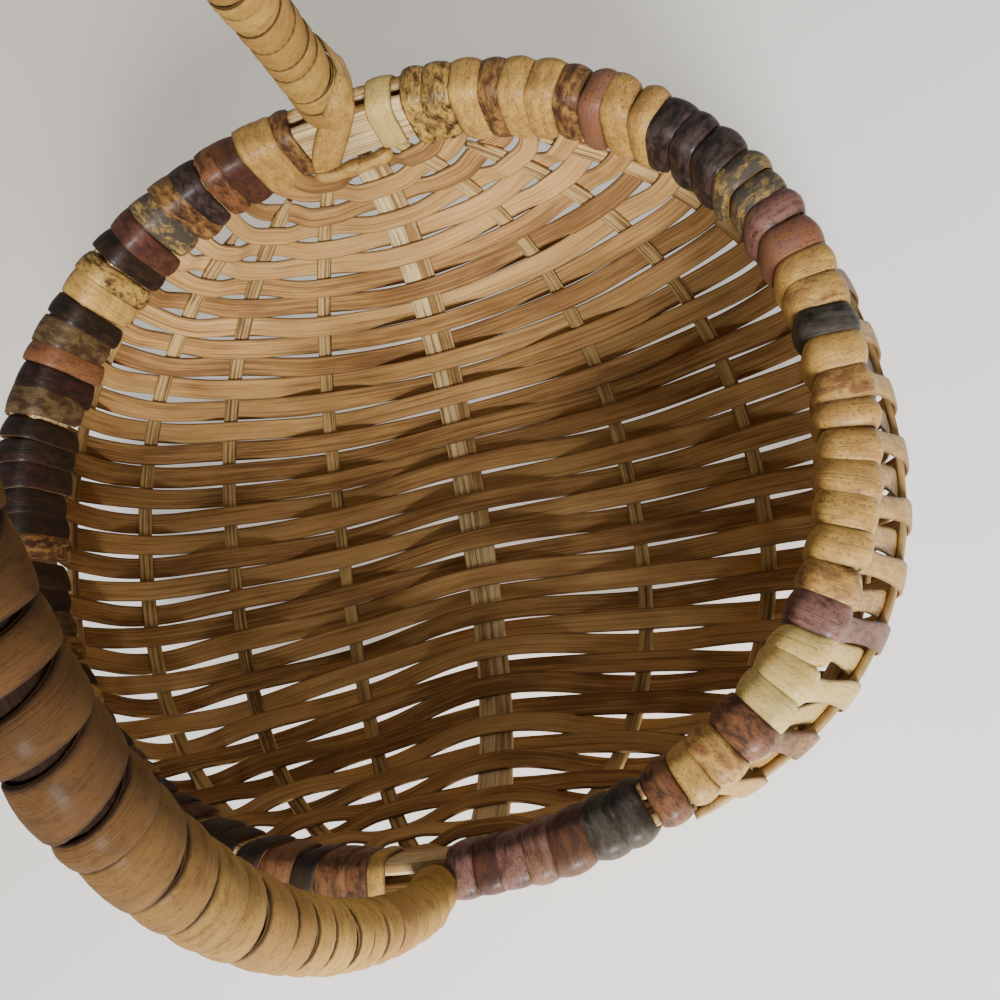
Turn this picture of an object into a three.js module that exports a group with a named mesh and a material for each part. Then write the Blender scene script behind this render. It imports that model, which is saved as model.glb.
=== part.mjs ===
// A double-lobed ribbed basket with a wrapped bow handle, woven from flat bamboo splints.
// X runs across the two lobes, Y from one handle foot to the other, Z up. Millimetres.
import * as THREE from 'three';

// The mouth, measured to the middle of the rim, and the bowl's depth below it in the middle
const rimReachX = 115;
const rimReachY = 105;
const rimPower = 2.17;
const bowlDepth = 83.5;

// The two flat hoops of the rim and the slot between them
const hoopThickness = 3.4;
const hoopHeight = 14;
const hoopSlot = 2.6;
const hoopChamfer = 1.2;

// The ribs: the middle one is broad, the others are narrow
const centreRibWidth = 11;
const centreRibThickness = 2.2;
const sideRibWidth = 5;
const sideRibThickness = 1.8;
const ribPower = 2.3;
const ribEndOverhang = 2;
const ribEndDepth = 13.5;
const tipReach = 0.6;
const tipTaper = 0.4;

// The course of each rib at mid length: how far out it runs, as a share of the rim's reach across,
// and how far below the rim, as a share of the bowl's depth. The ear is where it leaves the
// handle foot, as a share of the same reach, and firstRow the first row of weaving round it.
const ribCourses = [
  { reach: 0, depth: 1, ear: 0, firstRow: 0 },
  { reach: 0.487, depth: 1.126, ear: 0.07, firstRow: 0 },
  { reach: 0.861, depth: 1.048, ear: 0.122, firstRow: 2 },
  { reach: 1.122, depth: 0.904, ear: 0.157, firstRow: 4 },
  { reach: 1.165, depth: 0.503, ear: 0.174, firstRow: 4 },
];

// The weavers, as many as the photograph shows, with the gap between neighbours in the bowl and
// on the rim. Past the rib numbered roundFrom they run in a curve from rib to rib.
const rowCount = 40;
const rowGap = 0.6;
const turnedGap = 1.4;
const weaverThickness = 1.1;
const earClearance = 9.5;
const rimBareLength = 22;
const flatMargin = 0.8;
const roundFrom = 2;
const worn = 0.6;

// The bow handle, its tongues in the rim's slot, and the cane wound round it
const handleRise = 151.5;
const handlePower = 2.28;
const coreRadius = 6;
const coreSides = 8;
const coreBends = 41;
const tongueWidth = 9;
const tongueThickness = 1.8;
const tongueDepth = 6;
const tongueShoulder = 1.8;
const caneWidth = 7.4;
const caneThickness = 0.9;
const caneGap = 1.2;
const caneSteps = 10;

// The strip that lashes each handle foot to the rim, and its distance from the first weaver
const lashingWidth = 6;
const lashingTurns = 2;
const lashingGap = 1;

// Neighbouring pieces that touch keep this much air between their faces
const seatGap = 0.35;

// How many points each smooth course is measured on
const courseSamples = 800;

const rimIndex = ribCourses.length;
const upward = new THREE.Vector3(0, 0, 1);
const sideways = new THREE.Vector3(1, 0, 0);

const signedPower = (value, exponent) => Math.sign(value) * Math.abs(value) ** exponent;

// A rib's smooth course from one ear to the other, for an angle from 0 to a half turn
function ribCurve({ reach, depth, ear }) {
  return (angle) => {
    const bulge = Math.sin(angle) ** (2 / ribPower);
    return new THREE.Vector3(
      rimReachX * (ear + (reach - ear) * bulge),
      (rimReachY + ribEndOverhang) * signedPower(Math.cos(angle), 2 / ribPower),
      -ribEndDepth - (depth * bowlDepth - ribEndDepth) * bulge,
    );
  };
}

// Half of the rim's smooth course
function rimCurve(angle) {
  return new THREE.Vector3(
    rimReachX * Math.sin(angle) ** (2 / rimPower),
    rimReachY * signedPower(Math.cos(angle), 2 / rimPower),
    0,
  );
}

// The handle's smooth course, from the foot at +Y over the top to the foot at -Y
function handleCurve(angle) {
  return new THREE.Vector3(
    0,
    rimReachY * signedPower(Math.cos(angle), 2 / handlePower),
    handleRise * Math.sin(angle) ** (2 / handlePower),
  );
}

// A curve measured along its length: returns its length and the point at a distance
function measured(curve) {
  const points = [];
  const distances = [0];
  for (let i = 0; i <= courseSamples; i++) {
    points.push(curve((Math.PI * i) / courseSamples));
    if (i > 0) distances.push(distances[i - 1] + points[i].distanceTo(points[i - 1]));
  }
  const length = distances[courseSamples];
  const pointAt = (distance) => {
    let i = 1;
    while (i < courseSamples && distances[i] < distance) i++;
    const share = (distance - distances[i - 1]) / (distances[i] - distances[i - 1]);
    return points[i - 1].clone().lerp(points[i], share);
  };
  return { length, pointAt };
}

const ribLines = ribCourses.map((course) => measured(ribCurve(course)));
const rimLine = measured(rimCurve);
const handleLine = measured(handleCurve);
const weaverWidth = (ribLines[0].length - 2 * earClearance) / rowCount - rowGap;
const turnedWidth = (rimLine.length - 2 * rimBareLength) / rowCount - turnedGap;

// The rim runs straight past a handle foot for this far on each side
const footFlat = rimBareLength / 3;

// A course bent only at every second row, so that each weaver lies over a straight stretch
function bentCourse(line, bare) {
  const woven = line.length - 2 * bare;
  const borders = [];
  for (let row = 0; row < rowCount; row += 2) borders.push(row);
  borders.push(rowCount);
  const bends = borders.map((row) => line.pointAt(bare + (woven * row) / rowCount));
  return (row) => {
    let i = 1;
    while (i < borders.length - 1 && borders[i] < row) i++;
    const share = (row - borders[i - 1]) / (borders[i] - borders[i - 1]);
    return bends[i - 1].clone().lerp(bends[i], share);
  };
}

const bentRibs = ribLines.map((line) => bentCourse(line, earClearance));
const bentRim = bentCourse(rimLine, rimBareLength);

// A point of the weave: place 0 is the middle rib, 1 to 4 the ribs out to the rim, 5 the rim
// itself, and minus signs are the left side. Rows count from the foot at +Y.
function weavePoint(place, row) {
  const course = Math.abs(place) === rimIndex ? bentRim : bentRibs[Math.abs(place)];
  const point = course(row);
  if (place < 0) point.x = -point.x;
  return point;
}

// The point with the weave's directions there: along a weaver, along the rib, and out of the bowl
function weaveFrame(place, row) {
  const quarterRow = 0.25;
  const before = Math.max(row - quarterRow, 0);
  const after = Math.min(row + quarterRow, rowCount);
  const left = weavePoint(Math.max(place - 1, -rimIndex), row);
  const right = weavePoint(Math.min(place + 1, rimIndex), row);
  const weaver = right.sub(left).normalize();
  const rib = weavePoint(place, after).sub(weavePoint(place, before)).normalize();
  const out = weaver.clone().cross(rib).normalize();
  return { centre: weavePoint(place, row), weaver, rib, out };
}

// Joins corner rings into one closed mesh, with flat ends unless the rings close on themselves
function skin(rings, closed = false) {
  const sides = rings[0].length;
  const positions = rings.flat().flatMap((corner) => corner.toArray());
  const index = [];
  const last = closed ? rings.length : rings.length - 1;
  for (let i = 0; i < last; i++) {
    const next = (i + 1) % rings.length;
    for (let j = 0; j < sides; j++) {
      const a = i * sides + j;
      const b = i * sides + ((j + 1) % sides);
      const c = next * sides + ((j + 1) % sides);
      const d = next * sides + j;
      index.push(a, b, c, a, c, d);
    }
  }
  if (!closed) {
    const end = (rings.length - 1) * sides;
    for (let j = 1; j < sides - 1; j++) {
      index.push(0, j + 1, j);
      index.push(end, end + j, end + j + 1);
    }
  }
  turnOutward(positions, index);
  const geometry = new THREE.BufferGeometry();
  geometry.setAttribute('position', new THREE.Float32BufferAttribute(positions, 3));
  geometry.setIndex(index);
  return geometry;
}

// Swaps every face when the enclosed volume comes out negative
function turnOutward(positions, index) {
  const corner = (i) => new THREE.Vector3().fromArray(positions, 3 * i);
  let volume = 0;
  for (let i = 0; i < index.length; i += 3) {
    volume += corner(index[i]).dot(corner(index[i + 1]).cross(corner(index[i + 2])));
  }
  if (volume < 0) index.reverse();
}

// A flat strip through stations, each with a centre, a width and the way its width points.
// A slanted strip keeps that way as it is, so that it folds cleanly over an edge.
function strip(stations, thickness, slanted = false) {
  const rings = stations.map((station, i) => {
    const before = stations[Math.max(i - 1, 0)].centre;
    const after = stations[Math.min(i + 1, stations.length - 1)].centre;
    const arriving = station.centre.clone().sub(i > 0 ? before : after).normalize();
    const leaving = after.clone().sub(station.centre).normalize();
    if (i === 0) arriving.copy(leaving);
    if (i === stations.length - 1) leaving.copy(arriving);
    const tangent = arriving.clone().add(leaving).normalize();
    const across = station.across.clone();
    if (!slanted) across.addScaledVector(tangent, -across.dot(tangent)).normalize();
    const arrivingFace = across.clone().cross(arriving).normalize();
    const out = arrivingFace.clone().add(across.clone().cross(leaving).normalize()).normalize();
    out.multiplyScalar(thickness / 2 / out.dot(arrivingFace));
    across.multiplyScalar(station.width / 2);
    return [[-1, -1], [1, -1], [1, 1], [-1, 1]].map(([side, face]) =>
      station.centre.clone().addScaledVector(across, side).addScaledVector(out, face));
  });
  return skin(rings);
}

// A rib, with its two tips narrowed where they tuck into the ears
function ribGeometry(place) {
  const { firstRow } = ribCourses[Math.abs(place)];
  const width = place === 0 ? centreRibWidth : sideRibWidth;
  const thickness = place === 0 ? centreRibThickness : sideRibThickness;
  const stations = [];
  for (let row = firstRow; row < rowCount - firstRow; row += 2) {
    const { centre, weaver } = weaveFrame(place, row);
    stations.push({ centre, across: weaver, width });
  }
  const { centre, weaver } = weaveFrame(place, rowCount - firstRow);
  stations.push({ centre, across: weaver, width });
  if (firstRow === 0) {
    stations.unshift(ribTip(place, earClearance, stations[0], width));
    const line = ribLines[Math.abs(place)];
    stations.push(ribTip(place, line.length - earClearance, stations[stations.length - 1], width));
  }
  return strip(stations, thickness);
}

// The narrow end of a rib, drawn on towards the ear
function ribTip(place, distance, station, width) {
  const line = ribLines[Math.abs(place)];
  const toEar = distance < line.length / 2 ? -1 : 1;
  const centre = line.pointAt(distance + toEar * earClearance * tipReach);
  if (place < 0) centre.x = -centre.x;
  return { centre, across: station.across, width: width * tipTaper };
}

// Half sizes of the loop that a strip makes round both hoops, to the middle of the strip
function rimLoop(thickness) {
  const lift = seatGap + thickness / 2;
  const halfWidth = hoopSlot / 2 + hoopThickness + lift;
  const halfHeight = hoopHeight / 2 + lift;
  const cut = hoopChamfer + (2 - Math.SQRT2) * lift;
  return { halfWidth, halfHeight, cut };
}

// The outward way at a point of the rim, level with the ground
function rimOutward(along, point) {
  const out = along.clone().cross(upward).normalize();
  return out.dot(point) < 0 ? out.negate() : out;
}

// A weaver's turned end: up the outside of the rim, over it, down the inside and in below it
function rimTurn(side, row) {
  const { halfWidth, halfHeight, cut } = rimLoop(weaverThickness);
  const { centre, rib } = weaveFrame(side * rimIndex, row);
  const out = rimOutward(rib, centre);
  const profile = [
    [halfWidth + weaverThickness / 2, -halfHeight - weaverThickness],
    [halfWidth, -halfHeight + cut],
    [halfWidth, halfHeight - cut],
    [halfWidth - cut, halfHeight],
    [-halfWidth + cut, halfHeight],
    [-halfWidth, halfHeight - cut],
    [-halfWidth, -halfHeight + cut],
    [-halfWidth + cut, -halfHeight],
    [hoopSlot / 2, -halfHeight],
  ];
  return profile.map(([outwardShift, rise]) => ({
    centre: centre.clone().addScaledVector(out, outwardShift).addScaledVector(upward, rise),
    across: rib,
    width: turnedWidth,
  }));
}

// The flat that a weaver makes over one rib, as its two ends
function ribFlat(place, row) {
  const ribWidth = place === 0 ? centreRibWidth : sideRibWidth;
  const ribThickness = place === 0 ? centreRibThickness : sideRibThickness;
  const face = (Math.floor(row) + Math.abs(place)) % 2 === 0 ? 1 : -1;
  const { centre, weaver, rib, out } = weaveFrame(place, row);
  centre.addScaledVector(out, face * (ribThickness / 2 + seatGap + weaverThickness / 2));
  return [-1, 1].map((end) => ({
    centre: centre.clone().addScaledVector(weaver, end * (ribWidth / 2 + flatMargin)),
    across: rib,
    width: weaverWidth,
  }));
}

// Where a weaver crosses from one face to the other halfway to the next rib out, on the cubic
// curve through the two ribs and their neighbours
function crossing(place, row) {
  const nearShare = 9 / 16;
  const farShare = -1 / 16;
  const [before, inner, outer, after] = [-1, 0, 1, 2].map((step) =>
    weavePoint(Math.sign(place) * (Math.abs(place) + step), row));
  const centre = inner.add(outer).multiplyScalar(nearShare);
  centre.addScaledVector(before.add(after), farShare);
  return { centre, across: weaveFrame(place, row).rib, width: weaverWidth };
}

// The belly's round: halfway between the last flat and the turned end, on the cubic curve that
// leaves the flat in its own direction and meets the turned end going up
function belly(flatInner, flatOuter, turn) {
  const slopeShare = 1 / 8;
  const leaving = flatOuter.centre.clone().sub(flatInner.centre).normalize();
  const reach = turn.centre.distanceTo(flatOuter.centre);
  return {
    centre: flatOuter.centre.clone().lerp(turn.centre, 0.5)
      .addScaledVector(leaving.sub(upward), reach * slopeShare),
    across: flatOuter.across.clone().lerp(turn.across, 0.5).normalize(),
    width: weaverWidth,
  };
}

// One weaver: turned round the rim, over and under every rib in its way, and turned again
function weaverGeometry(index) {
  const row = index + 0.5;
  const outermost = ribCourses.findLastIndex(({ firstRow }) =>
    index >= firstRow && index < rowCount - firstRow);
  const half = (side) => {
    const stations = [];
    for (let rib = 1; rib <= outermost; rib++) {
      if (rib > roundFrom) stations.push(crossing(side * (rib - 1), row));
      const flat = ribFlat(side * rib, row);
      stations.push(...(side > 0 ? flat : flat.reverse()));
    }
    const turn = rimTurn(side, row);
    const [flatInner, flatOuter] = stations.slice(-2);
    return [...stations, belly(flatInner, flatOuter, turn[0]), ...turn];
  };
  const stations = [...half(-1).reverse(), ...ribFlat(0, row), ...half(1)];
  return strip(stations, weaverThickness);
}

// The rim's bends all the way round, as places on its middle line
function rimBends() {
  const half = [];
  for (let row = 0; row < rowCount; row += 2) half.push(bentRim(row));
  half.push(bentRim(rowCount));
  const bends = [rimLine.pointAt(footFlat), ...half, rimLine.pointAt(rimLine.length - footFlat)];
  const mirrored = bends.map((point) => new THREE.Vector3(-point.x, point.y, 0)).reverse();
  return [...bends, ...mirrored];
}

// One hoop of the rim: a flat band on edge, its bare face towards the slot square-cornered
function hoopGeometry(side) {
  const bends = rimBends();
  const inner = hoopSlot / 2;
  const outer = inner + hoopThickness;
  const half = hoopHeight / 2;
  const section = [
    [inner, -half],
    [outer - hoopChamfer, -half],
    [outer, -half + hoopChamfer],
    [outer, half - hoopChamfer],
    [outer - hoopChamfer, half],
    [inner, half],
  ];
  const rings = bends.map((point, i) => {
    const before = bends[(i + bends.length - 1) % bends.length];
    const after = bends[(i + 1) % bends.length];
    const arriving = point.clone().sub(before).normalize();
    const leaving = after.clone().sub(point).normalize();
    const along = arriving.clone().add(leaving).normalize();
    const out = rimOutward(along, point).multiplyScalar(1 / along.dot(arriving));
    return section.map(([shift, rise]) =>
      point.clone().addScaledVector(out, side * shift).addScaledVector(upward, rise));
  });
  return skin(rings, true);
}

// The distance along the handle at which it has risen this far, by halving the first half's length
function handleDistanceAt(rise) {
  const halvings = 30;
  let low = 0;
  let high = handleLine.length / 2;
  for (let i = 0; i < halvings; i++) {
    const middle = (low + high) / 2;
    if (handleLine.pointAt(middle).z < rise) low = middle;
    else high = middle;
  }
  return low;
}

// The full round of the rod starts just above the rim's top, at the tongue's shoulder
const shoulderRise = hoopHeight / 2 + seatGap;
const coreStart = handleDistanceAt(shoulderRise + tongueShoulder);
const coreLength = handleLine.length - 2 * coreStart;

// A point of the rod's middle line, which is bent at even steps, for a share of its length
function corePoint(share) {
  const position = share * (coreBends - 1);
  const i = Math.min(Math.floor(position), coreBends - 2);
  const bend = (n) => handleLine.pointAt(coreStart + (coreLength * n) / (coreBends - 1));
  return bend(i).lerp(bend(i + 1), position - i);
}

// The rod's direction there, over half a bend to either side
function coreAlong(share) {
  const step = 0.5 / (coreBends - 1);
  const before = corePoint(Math.max(share - step, 0));
  return corePoint(Math.min(share + step, 1)).sub(before).normalize();
}

// The bow itself: a round rod whose ends are cut down to flat tongues in the rim's slot
function coreGeometry() {
  const ring = (centre, along, halfX, halfY) => {
    const outward = along.clone().cross(sideways);
    return Array.from({ length: coreSides }, (_, i) => {
      const angle = (2 * Math.PI * (i + 0.5)) / coreSides;
      return centre.clone()
        .addScaledVector(sideways, halfX * Math.cos(angle))
        .addScaledVector(outward, halfY * Math.sin(angle));
    });
  };
  const tongue = (y, rise) =>
    ring(new THREE.Vector3(0, y, rise), y > 0 ? upward : upward.clone().negate(),
      tongueWidth / 2, tongueThickness / 2);
  const rings = [tongue(rimReachY, -tongueDepth), tongue(rimReachY, shoulderRise)];
  for (let i = 0; i < coreBends; i++) {
    const share = i / (coreBends - 1);
    rings.push(ring(corePoint(share), coreAlong(share), coreRadius, coreRadius));
  }
  rings.push(tongue(-rimReachY, shoulderRise), tongue(-rimReachY, -tongueDepth));
  return skin(rings);
}

// The cane wound round the handle is two lengths of one helix that butt at the top
const caneTurns = 2 * Math.floor((coreLength - caneWidth) / (caneWidth + caneGap) / 2);

function caneStations(firstTurn, lastTurn) {
  const inside = (coreRadius + seatGap) / Math.cos(Math.PI / caneSteps);
  const radius = inside + caneThickness / 2;
  const travel = 1 - caneWidth / coreLength;
  const buttGap = seatGap / (2 * Math.PI * radius);
  const first = firstTurn === 0 ? 0 : firstTurn + buttGap;
  const steps = (lastTurn - firstTurn) * caneSteps;
  return Array.from({ length: steps + 1 }, (_, i) => {
    const turn = Math.max(first, firstTurn + i / caneSteps);
    const share = 0.5 + travel * (turn / caneTurns - 0.5);
    const along = coreAlong(share);
    const outward = along.clone().cross(sideways);
    const centre = corePoint(share)
      .addScaledVector(sideways, radius * Math.cos(2 * Math.PI * turn))
      .addScaledVector(outward, radius * Math.sin(2 * Math.PI * turn));
    return { centre, across: along, width: caneWidth };
  });
}

// The least distance between one turn's edge and the next turn's, measured on their edges
function leastTurnGap(stations) {
  let least = Infinity;
  for (let i = 0; i + caneSteps < stations.length; i++) {
    const turn = stations[i];
    const next = stations[i + caneSteps];
    const upper = turn.centre.clone().addScaledVector(turn.across, turn.width / 2);
    const lower = next.centre.clone().addScaledVector(next.across, -next.width / 2);
    least = Math.min(least, upper.distanceTo(lower));
  }
  return least;
}

// A point of the rim's middle line near a foot, at a distance along the rim from the foot
function footPoint(distance) {
  const bend = (place) => {
    const point = rimLine.pointAt(Math.abs(place));
    point.x *= Math.sign(place);
    return point;
  };
  const bends = [-rimBareLength, -footFlat, footFlat, rimBareLength];
  let i = 1;
  if (distance < -footFlat) i = 0;
  if (distance > footFlat) i = 2;
  const share = (distance - bends[i]) / (bends[i + 1] - bends[i]);
  return bend(bends[i]).lerp(bend(bends[i + 1]), share);
}

// The strip that winds slantwise round the rim on both sides of a handle foot
function lashingGeometry() {
  const { halfWidth, halfHeight, cut } = rimLoop(weaverThickness);
  const loop = [
    [0, -halfHeight],
    [halfWidth - cut, -halfHeight],
    [halfWidth, -halfHeight + cut],
    [halfWidth, halfHeight - cut],
    [halfWidth - cut, halfHeight],
    [-halfWidth + cut, halfHeight],
    [-halfWidth, halfHeight - cut],
    [-halfWidth, -halfHeight + cut],
    [-halfWidth + cut, -halfHeight],
  ];
  const girth = [0];
  for (let i = 1; i <= loop.length; i++) {
    const [x0, z0] = loop[i - 1];
    const [x1, z1] = loop[i % loop.length];
    girth.push(girth[i - 1] + Math.hypot(x1 - x0, z1 - z0));
  }
  const around = girth[loop.length];
  const pitch = (2 * (rimBareLength - lashingGap) - lashingWidth) / lashingTurns;
  const stations = [];
  for (let i = 0; i <= lashingTurns * loop.length; i++) {
    const [outwardShift, rise] = loop[i % loop.length];
    const turns = Math.floor(i / loop.length) + girth[i % loop.length] / around;
    const place = pitch * (turns - lashingTurns / 2);
    const centre = footPoint(place);
    const along = footPoint(place + lashingWidth / 2).sub(footPoint(place - lashingWidth / 2));
    along.normalize();
    const out = rimOutward(along, centre);
    centre.addScaledVector(out, outwardShift).addScaledVector(upward, rise);
    stations.push({ centre, across: along, width: lashingWidth });
  }
  return strip(stations, weaverThickness, true);
}

// Turns a shape made at the +Y foot into its twin at the -Y foot
function mirroredY(geometry) {
  const twin = geometry.clone();
  twin.scale(1, -1, 1);
  twin.setIndex(Array.from(twin.index.array).reverse());
  return twin;
}

// Colours from the photograph
const weaverColours = [0xc49a63, 0xb88b55, 0xcba571, 0xad8250];
const ribColour = 0xd0b27c;
const hoopColour = 0xd9be8b;
const coreColour = 0xb8955c;
const caneColour = 0xc9a45f;
const lashingColour = 0xb5935c;

const basket = new THREE.Group();

function add(name, geometry, colour, roughness = 0.7) {
  const material = new THREE.MeshStandardMaterial({ color: colour, roughness, metalness: 0 });
  const mesh = new THREE.Mesh(geometry, material);
  mesh.name = name;
  basket.add(mesh);
  return mesh;
}

add('rim_inner_hoop', hoopGeometry(-1), hoopColour);
add('rim_outer_hoop', hoopGeometry(1), hoopColour);

add('centre_rib', ribGeometry(0), ribColour);
for (let place = 1; place < rimIndex; place++) {
  add(`left_rib_${place}`, ribGeometry(-place), ribColour);
  add(`right_rib_${place}`, ribGeometry(place), ribColour);
}

const weavers = [];
for (let row = 0; row < rowCount; row++) {
  const name = `weaver_${String(row + 1).padStart(2, '0')}`;
  weavers.push(add(name, weaverGeometry(row), weaverColours[row % weaverColours.length]));
}

const caneBack = caneStations(0, caneTurns / 2);
const caneFront = caneStations(caneTurns / 2, caneTurns);
const turnGap = Math.min(leastTurnGap(caneBack), leastTurnGap(caneFront));
console.log(`least gap between turns of the handle cane: ${turnGap.toFixed(2)} mm`);
add('handle_core', coreGeometry(), coreColour);
add('handle_cane_back', strip(caneBack, caneThickness), caneColour, 0.45);
add('handle_cane_front', strip(caneFront, caneThickness), caneColour, 0.45);

const lashing = lashingGeometry();
add('foot_lashing_back', lashing, lashingColour, 0.5);
add('foot_lashing_front', mirroredY(lashing), lashingColour, 0.5);

// Wears the lowest splints flat, so that the basket stands, and puts the ground at zero
function lowest(mesh) {
  mesh.geometry.computeBoundingBox();
  return mesh.geometry.boundingBox.min.z;
}

const ground = Math.min(...weavers.map(lowest)) + worn;
for (const { geometry } of weavers) {
  const position = geometry.attributes.position;
  for (let i = 0; i < position.count; i++) position.setZ(i, Math.max(position.getZ(i), ground));
}
basket.position.z = -ground;

export default basket;
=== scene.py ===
"""A double-lobed basket of bamboo splints with a wrapped bow handle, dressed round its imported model.

Places count across the basket: 0 is the middle rib, 1 to 4 the ribs out to the rim, 5 the rim
itself, and minus signs are the left side. Rows count along the ribs from the foot at +Y.
Everything is in metres, with Z up and the ground at zero.
"""

import math

import bpy
import numpy as np
from bpy.props import FloatProperty, FloatVectorProperty, IntProperty, PointerProperty
from mathutils import Matrix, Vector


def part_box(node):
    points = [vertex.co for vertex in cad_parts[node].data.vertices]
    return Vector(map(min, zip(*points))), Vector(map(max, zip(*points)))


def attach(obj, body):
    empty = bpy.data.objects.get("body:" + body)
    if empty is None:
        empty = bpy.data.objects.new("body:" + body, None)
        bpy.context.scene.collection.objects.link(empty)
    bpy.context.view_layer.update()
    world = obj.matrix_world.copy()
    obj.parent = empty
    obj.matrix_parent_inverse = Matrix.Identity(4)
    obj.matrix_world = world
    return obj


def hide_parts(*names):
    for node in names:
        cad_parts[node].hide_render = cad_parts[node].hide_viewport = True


bl_info = {
    "name": "Splint Basket",
    "version": (1, 0, 0),
    "blender": (4, 5, 0),
    "location": "3D View > Sidebar > Basket",
    "description": "Weaves a double-lobed splint basket with a wrapped bow handle",
    "category": "Add Mesh",
}

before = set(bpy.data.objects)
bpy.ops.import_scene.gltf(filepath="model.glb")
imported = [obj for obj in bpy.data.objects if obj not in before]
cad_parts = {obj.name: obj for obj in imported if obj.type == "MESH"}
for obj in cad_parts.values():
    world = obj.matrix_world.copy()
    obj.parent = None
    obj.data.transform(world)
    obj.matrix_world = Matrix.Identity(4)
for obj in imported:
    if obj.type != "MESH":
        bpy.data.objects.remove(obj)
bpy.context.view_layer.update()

MM = 0.001
UP = np.array([0.0, 0.0, 1.0])
RIM = 5
HOOPS = ("rim_inner_hoop", "rim_outer_hoop")
rim_low, rim_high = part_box(HOOPS[0])
RIM_LEVEL = (rim_low.z + rim_high.z) / 2
HOOP_HEIGHT = rim_high.z - rim_low.z
ROWS = sum(name.startswith("weaver_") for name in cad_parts)

# How many rows next to each foot don't reach each rib, from the middle rib out
FIRST_ROWS = (0, 0, 2, 4, 4)


def linear(code):
    """A six-digit hexadecimal colour as linear red, green and blue."""
    parts = np.array([(code >> shift) & 255 for shift in (16, 8, 0)]) / 255
    return tuple(np.where(parts <= 0.04045, parts / 12.92, ((parts + 0.055) / 1.055) ** 2.4))


def size(name, description, millimetres):
    """A length that a user can change."""
    return FloatProperty(
        name=name, description=description, default=millimetres * MM, min=0, unit="LENGTH", precision=4
    )


def rib_lengths(name, description, metres):
    """A length for each rib, from the middle one out, that a user can change."""
    return FloatVectorProperty(name=name, description=description, size=RIM, default=metres, unit="LENGTH")


def squareness(name, power):
    """The power of a rounded curve, which a user can change."""
    return FloatProperty(name=name, description="2 is an ellipse", default=power, min=1)


def colour(name, description, code):
    """A colour that a user can change."""
    return FloatVectorProperty(
        name=name, description=description, default=linear(code), min=0, max=1, subtype="COLOR"
    )


class BasketSizes(bpy.types.PropertyGroup):
    """Sizes of the mouth, the ribs, the splints and the handle"""

    rim_reach_x: size("Rim reach across", "From the middle to the rim across the lobes", 115)
    rim_reach_y: size("Rim reach lengthwise", "From the middle to the rim at a handle foot", 105)
    rim_power: squareness("Rim squareness", 2.17)
    hoop_thickness: size("Hoop thickness", "Thickness of each flat hoop", 3.4)
    hoop_slot: size("Hoop slot", "Air between the two hoops", 2.6)
    hoop_droop: size("Hoop droop", "How much deeper the hoops are at the foot at +Y than at -Y", 4.5)
    rib_reaches: rib_lengths(
        "Rib reaches", "How far out each rib runs at mid length", (0, 0.056, 0.099, 0.129, 0.134)
    )
    rib_depths: rib_lengths(
        "Rib depths", "How far below the rim each rib runs at mid length",
        (0.0835, 0.094, 0.0875, 0.0755, 0.042),
    )
    rib_ears: rib_lengths(
        "Rib ears", "How far from the handle foot each rib leaves the rim", (0, 0.008, 0.014, 0.018, 0.020)
    )
    rib_power: squareness("Rib squareness", 2.3)
    rib_end_y: size("Rib end", "Where the ribs end, lengthwise", 107)
    rib_end_depth: size("Rib end depth", "How far below the rim the ribs end", 13.5)
    centre_rib_width: size("Middle rib width", "Width of the broad middle rib", 11)
    centre_rib_thickness: size("Middle rib thickness", "Thickness of the middle rib", 2.2)
    side_rib_width: size("Side rib width", "Width of the narrow ribs", 5)
    side_rib_thickness: size("Side rib thickness", "Thickness of the narrow ribs", 1.8)
    splint_width: size("Splint width", "Greatest width of a weaver in the bowl", 7.8)
    wrap_width: size("Wrap width", "Width of a weaver where it turns over the rim", 8.6)
    splint_thickness: size("Splint thickness", "Thickness of a weaver", 0.9)
    seat_gap: size("Seat gap", "Air between pieces that touch", 0.3)
    flat_margin: size("Flat margin", "How far a weaver runs flat past a rib's edge", 0.8)
    ear_clearance: size("Ear clearance", "Bare end of each rib", 9.5)
    rim_bare: size("Bare rim", "Rim on each side of a foot without turned weavers", 22)
    handle_rise: size("Handle rise", "Height of the bow above the rim", 151.5)
    handle_power: squareness("Handle squareness", 2.28)
    handle_lean_x: size("Handle lean across", "How far the bow's middle stands off to the right", 5.2)
    handle_lean_y: size("Handle lean lengthwise", "How far the bow's middle leans towards -Y", 4.6)
    handle_foot_step: size("Handle foot step", "How far the bow steps outward over the foot at -Y", 4.4)
    rod_radius: size("Rod radius", "Radius of the rod inside the handle at the bow's middle", 5.4)
    handle_swell: size("Handle swell", "How much the radius grows to the foot at +Y and falls to -Y", 1.3)
    cane_thickness: size("Cane thickness", "Thickness of the cane round the handle", 0.9)
    cane_turns: IntProperty(
        name="Cane turns", description="Turns of the cane round the bow", default=55, min=2
    )


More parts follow.
